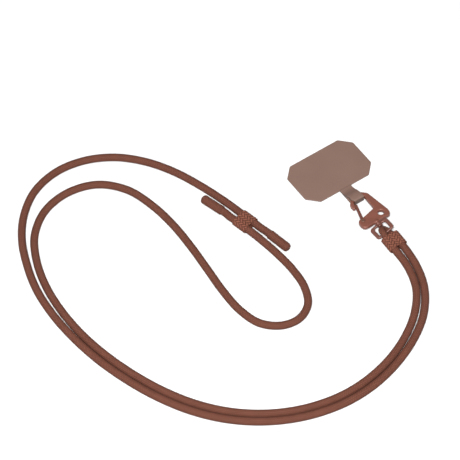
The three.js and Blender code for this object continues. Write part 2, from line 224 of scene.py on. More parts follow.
def braid(tree, along, around, yarns):
    """The braid of two sets of yarns that cross over two and under two. along is in pitches and around in
    turns. Gives the height from 0 to 1, and the place across the top yarn."""
    right = calculate(tree, "MULTIPLY", calculate(tree, "ADD", around, along), yarns)
    left = calculate(tree, "MULTIPLY", calculate(tree, "SUBTRACT", around, along), yarns)
    right_cell = calculate(tree, "FLOOR", right)
    left_cell = calculate(tree, "FLOOR", left)
    heights, across = [], []
    for yarn, cell, run, rise in (
        (right, right_cell, left, YARN_LIFT), (left, left_cell, right, -YARN_LIFT),
    ):
        over = calculate(tree, "SUBTRACT", yarn, cell)
        crown = calculate(tree, "SINE", calculate(tree, "MULTIPLY", over, math.pi))
        phase = calculate(tree, "SUBTRACT", calculate(tree, "ADD", cell, run), 1.0)
        wave = calculate(tree, "COSINE", calculate(tree, "MULTIPLY", phase, math.pi / 2))
        lift = calculate(tree, "MULTIPLY", wave, rise)
        heights.append(calculate(tree, "MULTIPLY_ADD", crown, YARN_CROWN, lift))
        across.append(over)
    height = calculate(tree, "MAXIMUM", *heights)
    on_top = calculate(tree, "GREATER_THAN", *heights)
    below = calculate(tree, "SUBTRACT", 1.0, on_top)
    pick = calculate(tree, "MULTIPLY", on_top, across[0])
    pick = calculate(tree, "ADD", pick, calculate(tree, "MULTIPLY", below, across[1]))
    return height, pick


def new_tree(name, inputs):
    """An empty Geometry Nodes tree with named inputs, its input node and its output node."""
    tree = bpy.data.node_groups.new(name, "GeometryNodeTree")
    tree.interface.new_socket("Geometry", in_out="INPUT", socket_type="NodeSocketGeometry")
    for label, kind in inputs:
        tree.interface.new_socket(label, in_out="INPUT", socket_type=kind)
    tree.interface.new_socket("Geometry", in_out="OUTPUT", socket_type="NodeSocketGeometry")
    return tree, tree.nodes.new("NodeGroupInput"), tree.nodes.new("NodeGroupOutput")


def capture(tree, geometry, value, kind):
    """Keeps a field on the geometry's points. Gives the geometry and the kept field."""
    node = tree.nodes.new("GeometryNodeCaptureAttribute")
    node.capture_items.new(kind, "kept")
    tree.links.new(geometry, node.inputs[0])
    tree.links.new(value, node.inputs[1])
    return node.outputs[0], node.outputs[1]


def scaled(tree, vector, scale):
    """A vector, from a socket or as numbers, times a number."""
    node = tree.nodes.new("ShaderNodeVectorMath")
    node.operation = "SCALE"
    link(tree, vector, node.inputs[0])
    link(tree, scale, node.inputs["Scale"])
    return node.outputs[0]


def raise_braid(tree, geometry, outward, height, share, chart, entry, exit_node):
    """The last steps of a braid's tree: a share of the braid's height moves each point outward, the points
    keep their chart as UVs, and the edges are merged into real geometry in the chosen material."""
    links = tree.links
    lift = calculate(tree, "SUBTRACT", height, 1.0)
    lift = calculate(tree, "MULTIPLY", lift, entry.outputs["Relief"])
    raised = tree.nodes.new("GeometryNodeSetPosition")
    links.new(geometry, raised.inputs["Geometry"])
    links.new(scaled(tree, outward, calculate(tree, "MULTIPLY", lift, share)), raised.inputs["Offset"])
    store = tree.nodes.new("GeometryNodeStoreNamedAttribute")
    store.data_type = "FLOAT2"
    store.domain = "CORNER"
    store.inputs["Name"].default_value = "UVMap"
    links.new(raised.outputs[0], store.inputs["Geometry"])
    links.new(chart, store.inputs["Value"])
    closed = tree.nodes.new("GeometryNodeMergeByDistance")
    closed.inputs["Distance"].default_value = MERGE_DISTANCE
    links.new(store.outputs[0], closed.inputs["Geometry"])
    shade = tree.nodes.new("GeometryNodeSetShadeSmooth")
    links.new(closed.outputs[0], shade.inputs["Geometry"])
    real = tree.nodes.new("GeometryNodeRealizeInstances")
    links.new(shade.outputs[0], real.inputs[0])
    coat = tree.nodes.new("GeometryNodeSetMaterial")
    links.new(real.outputs[0], coat.inputs["Geometry"])
    links.new(entry.outputs["Material"], coat.inputs["Material"])
    links.new(coat.outputs[0], exit_node.inputs[0])


def grow(name, start, tree, values):
    """Runs the tree on the start mesh and gives the result as a plain object."""
    seed = bpy.data.objects.new(name + "_seed", start)
    scene.collection.objects.link(seed)
    modifier = seed.modifiers.new("tree", "NODES")
    modifier.node_group = tree
    for item in tree.interface.items_tree:
        if item.in_out == "INPUT" and item.name in values:
            modifier[item.identifier] = values[item.name]
    evaluated = seed.evaluated_get(bpy.context.evaluated_depsgraph_get())
    mesh = bpy.data.meshes.new_from_object(evaluated)
    mesh.name = name
    bpy.data.objects.remove(seed)
    piece = bpy.data.objects.new(name, mesh)
    scene.collection.objects.link(piece)
    return piece


# The cord's tree: a tube along the route whose wall is the braid, closed at both ends by a dome. The profile
# is open, so that its two edges keep their own place in the pattern, and they are merged at the end.
cord_tree, entry, exit_node = new_tree("braided_cord", [
    ("Radius", "NodeSocketFloat"), ("Sides", "NodeSocketInt"), ("Yarns", "NodeSocketFloat"),
    ("Pitch", "NodeSocketFloat"), ("Relief", "NodeSocketFloat"), ("Last Point", "NodeSocketFloat"),
    ("Spacing", "NodeSocketFloat"), ("Material", "NodeSocketMaterial"),
])
nodes, links = cord_tree.nodes, cord_tree.links
line = nodes.new("GeometryNodeMeshToCurve")
links.new(entry.outputs["Geometry"], line.inputs[0])
upright = nodes.new("GeometryNodeSetCurveNormal")
upright.mode = "Z_UP"
links.new(line.outputs[0], upright.inputs["Curve"])
spline = nodes.new("GeometryNodeSplineParameter")
path, length = capture(cord_tree, upright.outputs[0], spline.outputs["Length"], "FLOAT")
place = nodes.new("GeometryNodeInputPosition")
path, centre = capture(cord_tree, path, place.outputs[0], "VECTOR")
from_start = spline.outputs["Index"]
from_end = calculate(cord_tree, "SUBTRACT", entry.outputs["Last Point"], from_start)
nearest_end = calculate(cord_tree, "MINIMUM", from_start, from_end)
nearest_end = calculate(cord_tree, "MULTIPLY", nearest_end, entry.outputs["Spacing"])
inwards = calculate(cord_tree, "DIVIDE", nearest_end, entry.outputs["Radius"])
outwards = calculate(cord_tree, "SUBTRACT", 1.0, calculate(cord_tree, "MINIMUM", inwards, 1.0))
dome = calculate(cord_tree, "SUBTRACT", 1.0, calculate(cord_tree, "MULTIPLY", outwards, outwards))
dome = calculate(cord_tree, "SQRT", calculate(cord_tree, "MAXIMUM", dome, 0.0))
sized = nodes.new("GeometryNodeSetCurveRadius")
links.new(path, sized.inputs["Curve"])
links.new(calculate(cord_tree, "MULTIPLY", dome, entry.outputs["Radius"]), sized.inputs["Radius"])
rim = nodes.new("GeometryNodeCurvePrimitiveLine")
rim_points = nodes.new("GeometryNodeResampleCurve")
links.new(rim.outputs[0], rim_points.inputs["Curve"])
links.new(calculate(cord_tree, "ADD", entry.outputs["Sides"], 1.0), rim_points.inputs["Count"])
rim_place = nodes.new("GeometryNodeSplineParameter")
rim_curve, around = capture(cord_tree, rim_points.outputs[0], rim_place.outputs["Factor"], "FLOAT")
angle = calculate(cord_tree, "MULTIPLY", rim_place.outputs["Factor"], 2 * math.pi)
circle = nodes.new("ShaderNodeCombineXYZ")
links.new(calculate(cord_tree, "COSINE", angle), circle.inputs[0])
links.new(calculate(cord_tree, "SINE", angle), circle.inputs[1])
rim_round = nodes.new("GeometryNodeSetPosition")
links.new(rim_curve, rim_round.inputs["Geometry"])
links.new(circle.outputs[0], rim_round.inputs["Position"])
tube = nodes.new("GeometryNodeCurveToMesh")
links.new(sized.outputs[0], tube.inputs["Curve"])
links.new(rim_round.outputs[0], tube.inputs["Profile Curve"])
radius_field = nodes.new("GeometryNodeInputRadius")
links.new(radius_field.outputs[0], tube.inputs["Scale"])
along = calculate(cord_tree, "DIVIDE", length, entry.outputs["Pitch"])
height, _ = braid(cord_tree, along, around, entry.outputs["Yarns"])
spot = nodes.new("GeometryNodeInputPosition")
outward = nodes.new("ShaderNodeVectorMath")
outward.operation = "SUBTRACT"
links.new(spot.outputs[0], outward.inputs[0])
links.new(centre, outward.inputs[1])
unit = nodes.new("ShaderNodeVectorMath")
unit.operation = "NORMALIZE"
links.new(outward.outputs[0], unit.inputs[0])
chart = nodes.new("ShaderNodeCombineXYZ")
links.new(along, chart.inputs[0])
links.new(around, chart.inputs[1])
raise_braid(
    cord_tree, tube.outputs[0], unit.outputs[0], height, dome, chart.outputs[0], entry, exit_node,
)


def noise(tree, scale, detail):
    """Soft noise on Object coordinates."""
    coordinates = tree.nodes.new("ShaderNodeTexCoord")
    cloud = tree.nodes.new("ShaderNodeTexNoise")
    cloud.inputs["Scale"].default_value = scale
    cloud.inputs["Detail"].default_value = detail
    tree.links.new(coordinates.outputs["Object"], cloud.inputs["Vector"])
    return cloud.outputs["Fac"]


def bumped(tree, shader, height, strength, distance):
    """Bump by a height, on the shader's normal."""
    bump = tree.nodes.new("ShaderNodeBump")
    bump.inputs["Strength"].default_value = strength
    bump.inputs["Distance"].default_value = distance
    tree.links.new(height, bump.inputs["Height"])
    tree.links.new(bump.outputs[0], shader.inputs["Normal"])


def braided_finish(name, colour, yarns):
    """Braided yarn: painted shade between the yarns, with fine filaments along each and slow changes of
    tone.
    """
    material = bpy.data.materials.new(name)
    material.use_nodes = True
    tree = material.node_tree
    shader = tree.nodes["Principled BSDF"]
    chart = tree.nodes.new("ShaderNodeUVMap")
    chart.uv_map = "UVMap"
    split = tree.nodes.new("ShaderNodeSeparateXYZ")
    tree.links.new(chart.outputs[0], split.inputs[0])
    height, across = braid(tree, split.outputs[0], split.outputs[1], yarns)
    filament = calculate(tree, "SINE", calculate(tree, "MULTIPLY", across, 2 * math.pi * 4))
    # Painted shade: the colour darkens where the braid is low, between the yarns.
    painted_crevice_shade = tree.nodes.new("ShaderNodeMapRange")
    painted_crevice_shade.inputs["From Min"].default_value = 0.3
    painted_crevice_shade.inputs["From Max"].default_value = 0.8
    painted_crevice_shade.inputs["To Min"].default_value = YARN_PAINTED_SHADE
    tree.links.new(height, painted_crevice_shade.inputs["Value"])
    tone = calculate(tree, "MULTIPLY_ADD", noise(tree, 140, 3), 0.34, 0.83)
    tone = calculate(tree, "MULTIPLY", tone, painted_crevice_shade.outputs[0])
    tone = calculate(tree, "MULTIPLY_ADD", filament, 0.05, tone)
    tree.links.new(scaled(tree, colour, tone), shader.inputs["Base Color"])
    bumped(tree, shader, calculate(tree, "MULTIPLY_ADD", filament, 0.08, height), 0.35, 0.0002)
    shader.inputs["Roughness"].default_value = 0.8
    shader.inputs["Specular IOR Level"].default_value = 0.08
    return material


def route_mesh(points):
    """A chain of points and edges for the cord tree to follow."""
    chain = bpy.data.meshes.new("route")
    chain.from_pydata([tuple(p) for p in points], [(i, i + 1) for i in range(len(points) - 1)], [])
    return chain


def braided_cord(name, points, radius, material, spacing=0.00055):
    """A braided cord through the points. Gives the piece, its length and its centre line."""
    fine, total = smooth_route(points, spacing)
    last = len(fine) - 1
    piece = grow(name, route_mesh(fine), cord_tree, {
        "Radius": radius, "Sides": CORD_SIDES, "Yarns": float(YARNS), "Relief": BRAID_RELIEF,
        "Pitch": BRAID_PITCH * radius / CORD_RADIUS, "Last Point": float(last), "Spacing": total / last,
        "Material": material,
    })
    return piece, total, smooth_route(points, LINE_SPACING)[0]


cord_brown = braided_finish("cord_braid", (0.110, 0.0405, 0.0265), YARNS)
mouth = ADJUSTER_LENGTH / 2
for name, side, route, entry_side, approach in (
    ("outer", 1, OUTER_ROUTE, -1, 0.0046), ("inner", -1, INNER_ROUTE, 1, -0.0038),
):
    spread = side * ADJUSTER_SPREAD
    root_x, root_y, turn = TIP_ROOTS[name]
    lead = Vector((math.cos(math.radians(turn)), math.sin(math.radians(turn)), 0))
    root = Vector((root_x, root_y, TIP_RADIUS))
    points = [
        (CUFF_FRONT + CUFF_LENGTH * 0.55, CUFF_SIDE + side * PAIR_HALF_SPREAD, CUFF_MIDDLE_HEIGHT),
        (CUFF_FRONT + CUFF_LENGTH + 0.0003, CUFF_SIDE + side * CUFF_BACK_SPREAD, CUFF_BACK_HEIGHT),
        *[(x, y, CORD_LEVEL) for x, y in beside_pair(side * PAIR_HALF_SPREAD) + route],
        at_adjuster(entry_side * (mouth + 0.0083), approach, 0.0035),
        at_adjuster(entry_side * mouth, spread),
        at_adjuster(0, spread),
        at_adjuster(-entry_side * mouth, spread),
        at_adjuster(-entry_side * (mouth + 0.006), spread * 1.02, 0.00385),
        tuple(root - lead * 0.003),
        tuple(root),
        tuple(root + lead * 0.006),
    ]
    piece, total, centre_line = braided_cord("strand_" + name, points, CORD_RADIUS, cord_brown)
    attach(piece, "strap")
    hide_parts("cord_" + name, f"cord_{name}_end")

# Bight: the middle of the same cord, squeezed where it goes under the stirrup's bar on one side and comes
# back over it on the other. Its two legs come level with each other on their way into the cuff.
BIGHT_RADIUS = 0.00256
BIGHT_HALF_SPREAD, BIGHT_RISE, BIGHT_APEX = 0.0033, 0.00274, 0.0447


def bight_leg(side):
    """Half of the bight, from inside the cuff to the stirrup's bar. One side lies low, the other high."""
    y, rise, level = side * BIGHT_HALF_SPREAD, -side * BIGHT_RISE, CUFF_FRONT_HEIGHT
    leg = [
        (CUFF_FRONT + 0.0064, y, level - 0.0005), (CUFF_FRONT + 0.0036, y, level - 0.0003 + rise * 0.16),
        (CUFF_FRONT + 0.0006, y, level + rise * 0.27), (0.0512, y, level + rise * 0.53),
        (0.0496, y, level + rise * 0.95), (0.048, y, level + rise),
        (0.0463, y * 0.82, level + rise * 0.82), (0.0451, y * 0.45, level + rise * 0.45),
    ]
    return [(x, CUFF_SIDE + beside, height) for x, beside, height in leg]


bight_points = [*bight_leg(1), (BIGHT_APEX, CUFF_SIDE, CUFF_FRONT_HEIGHT), *reversed(bight_leg(-1))]
bight, bight_length, bight_line = braided_cord(
    "bight", bight_points, BIGHT_RADIUS, cord_brown, spacing=0.0004,
)
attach(bight, "strap")
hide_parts("cord_fold")

# Cuff and adjuster: hollow elastic sleeves, braided round both strands. The cuff is sewn fast over the
# bight's legs, and the adjuster slides. Both mouths are turned in, and the top sinks between the strands.
SLEEVE_RADIUS, SLEEVE_BORE = 0.0044, 0.0033
SLEEVE_SIDES, SLEEVE_STEPS, SLEEVE_LIP_STEPS = 190, 58, 9
SLEEVE_PITCH, SLEEVE_YARNS, SLEEVE_RELIEF = 0.046, 16, 0.0007
SLEEVE_DIP, SLEEVE_DIP_WIDTH = 0.05, 0.0016
CUFF_CENTRES, ADJUSTER_CENTRES = (0.0037, 0.0037), (0.0037, 0.00395)


def stadium(turns, half_gap, radius):
    """The place on two half circles joined by flats, by even steps of length. Gives the gap part and the
    unit direction, so that a point is the gap part plus radius times the direction."""
    arc, flat = math.pi * radius, 2 * half_gap
    run = turns * 2 * (arc + flat)
    right, top = np.clip(run, 0, arc) / radius, np.clip(run - arc, 0, flat)
    left, base = np.clip(run - arc - flat, 0, arc) / radius, np.clip(run - 2 * arc - flat, 0, flat)
    return half_gap - top + base, np.sin(right) - np.sin(left), np.cos(left) - np.cos(right) - 1


def sleeve_shell(name, profile, around, pitch, dip, place):
    """A closed shell round +X. The profile's rows are the place along, the half gap, the radius and how much
    of the braid's relief shows. Its points keep their place in the pattern and their outward direction."""
    profile = np.array(profile)
    middle = profile[profile[:, 3].argmax()]
    turns = np.linspace(0, 1, around + 1)
    gap, cross, up = stadium(turns, middle[1], max(middle[2], 1e-6))
    slope = np.gradient(profile[:, [0, 2]], axis=0)
    slope /= np.linalg.norm(slope, axis=1)[:, None]
    steps = np.linalg.norm(np.diff(profile[:, [0, 2]], axis=0), axis=1)
    reach = np.concatenate([[0], np.cumsum(steps)])
    wide = around + 1
    vertices, outward, pattern = [], [], []
    for (x, half_gap, radius, relief), (along, rise), run in zip(profile, slope, reach):
        beside = gap * (half_gap / middle[1] if middle[1] else 0)
        sink = 1 - dip * np.exp(-(beside / SLEEVE_DIP_WIDTH) ** 2) * relief
        vertices.append(np.column_stack([np.full(wide, x), beside + radius * cross, radius * up * sink]))
        outward.append(np.column_stack([np.full(wide, -rise), along * cross, along * up]))
        pattern.append(np.column_stack([np.full(wide, run / pitch), turns, np.full(wide, relief)]))
    faces = [
        (i * wide + j, i * wide + j + 1, (i + 1) * wide + j + 1, (i + 1) * wide + j)
        for i in range(len(profile) - 1) for j in range(around)
    ]
    shell = bpy.data.meshes.new(name)
    shell.from_pydata(np.vstack(vertices).tolist(), [], faces)
    turned = np.vstack(outward) @ np.array(place.to_3x3()).T
    for label, values in (("outward", turned), ("pattern", np.vstack(pattern))):
        shell.attributes.new(label, "FLOAT_VECTOR", "POINT").data.foreach_set("vector", values.ravel())
    shell.transform(place)
    return shell


def lip_rows(x, half_gap, radius, lip, start, steps):
    """The rows of half a turn round a rounded lip, without its two ends."""
    return [
        (x + lip * math.sin(turn), half_gap, radius + lip * math.cos(turn), max(0.0, math.cos(turn)))
        for turn in np.linspace(start, start + math.pi, steps)[1:-1]
    ]


def sleeve_profile(length, centres):
    """The section of an open sleeve's wall: from inside the bore round the front lip, along the outside,
    round the back lip and back along the bore."""
    lip = (SLEEVE_RADIUS - SLEEVE_BORE) / 2
    middle_radius, middle_gap = (SLEEVE_RADIUS + SLEEVE_BORE) / 2, sum(centres) / 2
    front = lip_rows(lip, middle_gap, middle_radius, lip, math.pi, SLEEVE_LIP_STEPS)
    back = lip_rows(length - lip, middle_gap, middle_radius, lip, 0, SLEEVE_LIP_STEPS)
    outside = [
        (length / 2 + t * (length / 2 - lip), centres[0], SLEEVE_RADIUS, 1.0)
        for t in np.linspace(-1, 1, SLEEVE_STEPS)
    ]
    bore = [(x, centres[1], SLEEVE_BORE, 0.0) for x in (length - lip, lip)]
    return [bore[1], *front, *outside, *back, *bore]


# The sleeves' tree: a shell's points are lifted by the braid that its pattern gives.
sleeve_tree, entry, exit_node = new_tree("braided_sleeve", [
    ("Yarns", "NodeSocketFloat"), ("Relief", "NodeSocketFloat"), ("Material", "NodeSocketMaterial"),
])


def kept_vector(tree, label):
    """A vector that the start mesh keeps on its points."""
    node = tree.nodes.new("GeometryNodeInputNamedAttribute")
    node.data_type = "FLOAT_VECTOR"
    node.inputs["Name"].default_value = label
    return node.outputs[0]


pattern = kept_vector(sleeve_tree, "pattern")
pattern_axes = sleeve_tree.nodes.new("ShaderNodeSeparateXYZ")
sleeve_tree.links.new(pattern, pattern_axes.inputs[0])
along, around, shows = pattern_axes.outputs
height, _ = braid(sleeve_tree, along, around, entry.outputs["Yarns"])
raise_braid(
    sleeve_tree, entry.outputs["Geometry"], kept_vector(sleeve_tree, "outward"), height, shows, pattern,
    entry, exit_node,
)

sleeve_brown = braided_finish("sleeve_braid", (0.140, 0.051, 0.033), SLEEVE_YARNS)
cuff_pitch = math.atan2(CUFF_FRONT_HEIGHT - CUFF_BACK_HEIGHT, CUFF_LENGTH)
cuff_place = (
    Matrix.Translation((CUFF_FRONT, CUFF_SIDE, CUFF_FRONT_HEIGHT)) @ Matrix.Rotation(cuff_pitch, 4, "Y")
)
adjuster_place = (
    Matrix.Translation(ADJUSTER_CENTRE) @ Matrix.Rotation(ADJUSTER_TURN, 4, "Z")
    @ Matrix.Translation((-ADJUSTER_LENGTH / 2, 0, 0))
)
sleeves = {}
for name, node, length, centres, place in (
    ("cuff_sleeve", "cord_cuff", CUFF_LENGTH, CUFF_CENTRES, cuff_place),
    ("adjuster_sleeve", "adjuster", ADJUSTER_LENGTH, ADJUSTER_CENTRES, adjuster_place),
):
    section = sleeve_profile(length, centres)
    shell = sleeve_shell(name, section, SLEEVE_SIDES, SLEEVE_PITCH, SLEEVE_DIP, place)
    sleeves[name] = grow(name, shell, sleeve_tree, {
        "Yarns": float(SLEEVE_YARNS), "Relief": SLEEVE_RELIEF, "Material": sleeve_brown,
    })
    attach(sleeves[name], "strap")
    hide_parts(node)

# Tips: short woven sleeves with a sealed round end, pushed over the cord's loose ends. With its tip each
# strand is complete.
TIP_BORE, TIP_BORE_END, TIP_NOSE = 0.0033, 0.0075, 0.0026
TIP_SIDES, TIP_STEPS, TIP_LIP_STEPS, TIP_NOSE_STEPS = 72, 74, 7, 14
TIP_YARNS, TIP_PITCH, TIP_RELIEF = 16, 0.022, 0.0003
TIP_SLACK = 0.0003
tip_brown = braided_finish("tip_braid", (0.110, 0.0405, 0.0265), TIP_YARNS)


def tip_profile():
    """The section of a tip's wall from the bottom of its bore, round its mouth and on to its closed end."""
    lip, straight_end = (TIP_RADIUS - TIP_BORE) / 2, TIP_LENGTH - TIP_NOSE
    bore = [
        (TIP_BORE_END, 0, 0, 0.0), (TIP_BORE_END, 0, TIP_BORE * 0.6, 0.0),
        (TIP_BORE_END - 0.0003, 0, TIP_BORE, 0.0), (lip, 0, TIP_BORE, 0.0),
    ]
    mouth_lip = lip_rows(lip, 0, TIP_BORE + lip, lip, math.pi, TIP_LIP_STEPS)
    outside = [(x, 0, TIP_RADIUS, 1.0) for x in np.linspace(lip, straight_end, TIP_STEPS)]
    nose = []
    for turn in np.linspace(0, math.pi / 2, TIP_NOSE_STEPS)[1:]:
        narrow = max(0.0, math.cos(turn))
        nose.append((straight_end + TIP_NOSE * math.sin(turn), 0, TIP_RADIUS * narrow**0.7, narrow))
    return bore + mouth_lip + outside + nose


for name, (root_x, root_y, turn) in TIP_ROOTS.items():
    place = (
        Matrix.Translation((root_x, root_y, TIP_RADIUS)) @ Matrix.Rotation(math.radians(turn), 4, "Z")
        @ Matrix.Translation((TIP_SLACK, 0, 0))
    )
    shell = sleeve_shell("tip", tip_profile(), TIP_SIDES, TIP_PITCH, 0.0, place)
    tip = grow("tip_sleeve_" + name, shell, sleeve_tree, {
        "Yarns": float(TIP_YARNS), "Relief": TIP_RELIEF, "Material": tip_brown,
    })
    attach(tip, "strap")
    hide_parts("tip_" + name)

# Clasp plate: one flat zinc casting, painted in satin rose-brown. It is a hook whose mouth the gate closes,
# with a round hole and a barrel for the swivel pin. The hardware is drawn in millimetres in the clasp's own
# plane, and clasp_place puts it on the table, a little nose-down.
CLASP_PITCH, CLASP_HEIGHT = math.radians(-3), 0.00276
PLATE_THICKNESS, PLATE_ROUNDING = 3.4, 0.6
PLATE_OUTLINE = [
    (4.9, 5.6, 1), (8.8, 9.9, 1.4), (32.7, 13.3, 2), (37, 11.6, 2.2), (36.3, 7.6, 1.2), (36.8, -13.8, 4.2),
    (27, -13.8, 4.4), (27.2, -8.2, 0.8), (24.1, 5, 1), (10, 5.9, 1), (10, -4.4, 0.8), (16.4, -6.8, 0.9),
    (15.8, -8.8, 1), (10.9, -8.6, 1.6), (7, -5, 1.6),
]
GATE_SLOT = [
    (30.4, -12.6, 0.1), (22, -12.6, 0.1), (22, -2, 0.1), (26.2, -2, 0.1), (32.2, -7.8, 0.4),
    (33.2, -10.2, 0.4),
]
HOLE_PLACE, HOLE_RADIUS = (31, 6.6), 2.5
PIVOT = (29.8, -9.7)
GATE_THICKNESS, FIT = 1.4, 0.3
SWIVEL_SIDE = -1.1
BARREL_START, BARREL_END, BARREL_RADIUS = 34.4, 37.5, 2.4
PIN_RADIUS = 1.1
CORNER_STEPS, DISC_SIDES, TURNED_SIDES = 7, 40, 64
WELD_DISTANCE = 0.0001
clasp_place = (
    Matrix.Translation((0, 0, CLASP_HEIGHT)) @ Matrix.Rotation(CLASP_PITCH, 4, "Y") @ Matrix.Scale(MM, 4)
)


def eased(corners):
    """A closed outline through corner points (x, y, rounding), each corner eased by its rounding. The
    roundings of two neighbours together have to be shorter than the line between them."""
    outline = []
    for i, (x, y, rounding) in enumerate(corners):
        corner, before = Vector((x, y)), Vector(corners[i - 1][:2])
        after = Vector(corners[(i + 1) % len(corners)][:2])
        into = corner + (before - corner).normalized() * rounding
        out = corner + (after - corner).normalized() * rounding
        for t in np.linspace(0, 1, CORNER_STEPS):
            outline.append(tuple(into * (1 - t) ** 2 + corner * 2 * t * (1 - t) + out * t**2))
    return outline


def disc(place, radius):
    """A circle's points round a place."""
    turns = [2 * math.pi * i / DISC_SIDES for i in range(DISC_SIDES)]
    return [(place[0] + radius * math.cos(t), place[1] + radius * math.sin(t)) for t in turns]


def plain_mesh(source):
    """The evaluated object as a mesh of its own, with its doubles merged. The object goes."""
    mesh = bpy.data.meshes.new_from_object(source.evaluated_get(bpy.context.evaluated_depsgraph_get()))
    bpy.data.objects.remove(source)
    welded = bmesh.new()
    welded.from_mesh(mesh)
    bmesh.ops.remove_doubles(welded, verts=welded.verts, dist=WELD_DISTANCE)
    bmesh.ops.recalc_face_normals(welded, faces=welded.faces)
    welded.to_mesh(mesh)
    welded.free()
    return mesh


def cast_slab(outline, thickness, rounding=0.0, holes=()):
    """A slab of the outline, level with z = 0 at its middle, whose edges are rounded inside the outline."""
    drawing = bpy.data.curves.new("drawing", "CURVE")
    drawing.dimensions = "2D"
    drawing.fill_mode = "BOTH"
    drawing.extrude = thickness / 2 - rounding
    drawing.bevel_depth = rounding
    drawing.bevel_resolution = 3
    drawing.offset = -rounding
    for ring in [outline, *[hole[::-1] for hole in holes]]:
        spline = drawing.splines.new("POLY")
        spline.points.add(len(ring) - 1)
        for point, (x, y) in zip(spline.points, ring):
            point.co = (x, y, 0, 1)
        spline.use_cyclic_u = True
    slab = bpy.data.objects.new("slab", drawing)
    scene.collection.objects.link(slab)
    return plain_mesh(slab)


def turned(profile):
    """A closed solid turned round the x axis. The profile's rows are the place along and the radius."""
    sides = TURNED_SIDES
    turns = [2 * math.pi * i / sides for i in range(sides)]
    points = [(x, r * math.cos(t), r * math.sin(t)) for x, r in profile for t in turns]
    faces = [
        (k * sides + i, k * sides + (i + 1) % sides, (k + 1) * sides + (i + 1) % sides, (k + 1) * sides + i)
        for k in range(len(profile) - 1) for i in range(sides)
    ]
    lathed = bpy.data.meshes.new("turned")
    lathed.from_pydata(points, [], faces)
    work = bpy.data.objects.new("turned", lathed)
    scene.collection.objects.link(work)
    return plain_mesh(work)


def moved(mesh, place):
    """The mesh, put in its place."""
    mesh.transform(place)
    return mesh


def cast(name, start, changes, grain, easing):
    """Joins and cuts solids, and eases the corners between them as a casting's are. grain is the size of
    the fine mesh, in millimetres."""
    casting = bpy.data.objects.new(name, start)
    scene.collection.objects.link(casting)
    tools = []
    for operation, mesh in changes:
        tool = bpy.data.objects.new("tool", mesh)
        scene.collection.objects.link(tool)
        tools.append(tool)
        change = casting.modifiers.new("change", "BOOLEAN")
        change.operation = operation
        change.solver = "EXACT"
        change.object = tool
    fine = casting.modifiers.new("fine", "REMESH")
    fine.mode = "VOXEL"
    fine.voxel_size = grain
    fine.use_smooth_shade = True
    ease = casting.modifiers.new("ease", "SMOOTH")
    ease.factor = 0.5
    ease.iterations = easing
    mesh = bpy.data.meshes.new_from_object(casting.evaluated_get(bpy.context.evaluated_depsgraph_get()))
    for work in [casting, *tools]:
        bpy.data.objects.remove(work)
    mesh.name = name
    return mesh


def hardware(name, mesh, node, body, finish, place=clasp_place):
    """A finished piece of the clasp, in its place and on its body."""
    mesh.transform(place)
    mesh.materials.clear()
    mesh.materials.append(finish)
    mesh.shade_smooth()
    piece = bpy.data.objects.new(name, mesh)
    scene.collection.objects.link(piece)
    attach(piece, body)
    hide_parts(node)
    return piece


def satin_paint(name, colour, roughness=0.44):
    """Satin paint on cast zinc: an even coat with a faint ripple, and a painted highlight that lightens
    convex edges.
    """
    material = bpy.data.materials.new(name)
    material.use_nodes = True
    tree = material.node_tree
    shader = tree.nodes["Principled BSDF"]
    cloud, ripple = noise(tree, 110, 4), noise(tree, 900, 2)
    edge = tree.nodes.new("ShaderNodeNewGeometry")
    # Painted highlight: convex edges, found by their pointiness, are painted lighter.
    painted_edge_highlight = tree.nodes.new("ShaderNodeMapRange")
    painted_edge_highlight.inputs["From Min"].default_value = 0.52
    painted_edge_highlight.inputs["From Max"].default_value = 0.62
    sharpness = calculate(tree, "MULTIPLY_ADD", ripple, 0.03, edge.outputs["Pointiness"])
    tree.links.new(sharpness, painted_edge_highlight.inputs["Value"])
    tone = calculate(tree, "MULTIPLY_ADD", cloud, 0.5, 0.75)
    tone = calculate(tree, "MULTIPLY_ADD", painted_edge_highlight.outputs[0], 0.15, tone)
    tree.links.new(scaled(tree, colour, tone), shader.inputs["Base Color"])
    gloss = calculate(tree, "MULTIPLY_ADD", cloud, 0.16, roughness - 0.08)
    tree.links.new(gloss, shader.inputs["Roughness"])
    bumped(tree, shader, ripple, 0.12, 0.0001)
    shader.inputs["Metallic"].default_value = 0.25
    shader.inputs["Specular IOR Level"].default_value = 0.5
    return material


clasp_paint = satin_paint("clasp_paint", (0.145, 0.05, 0.034))
barrel = turned([
    (BARREL_START, 0), (BARREL_START, 1.4), (BARREL_START + 1.3, BARREL_RADIUS),
    (BARREL_END - 0.5, BARREL_RADIUS), (BARREL_END, BARREL_RADIUS - 0.5), (BARREL_END, 0),
])
pin_bore = turned([
    (BARREL_END - 3.5, 0), (BARREL_END - 3.5, PIN_RADIUS + FIT), (BARREL_END + 1, PIN_RADIUS + FIT),
    (BARREL_END + 1, 0),
])
on_swivel = Matrix.Translation((0, SWIVEL_SIDE, 0))
upright_bore = Matrix.Translation((*PIVOT, 0)) @ Matrix.Rotation(math.radians(90), 4, "Y")
plate_mesh = cast("plate_cast", cast_slab(
    eased(PLATE_OUTLINE), PLATE_THICKNESS, PLATE_ROUNDING, [disc(HOLE_PLACE, HOLE_RADIUS)],
), [
    ("DIFFERENCE", cast_slab(eased(GATE_SLOT), GATE_THICKNESS + 2 * FIT)),
    ("DIFFERENCE", moved(turned([(-4, 0), (-4, 1.3), (4, 1.3), (4, 0)]), upright_bore)),
    ("UNION", moved(barrel, on_swivel)),
    ("DIFFERENCE", moved(pin_bore, on_swivel)),
], grain=0.17, easing=7)
hardware("plate_cast", plate_mesh, "clasp_plate", "clasp", clasp_paint)
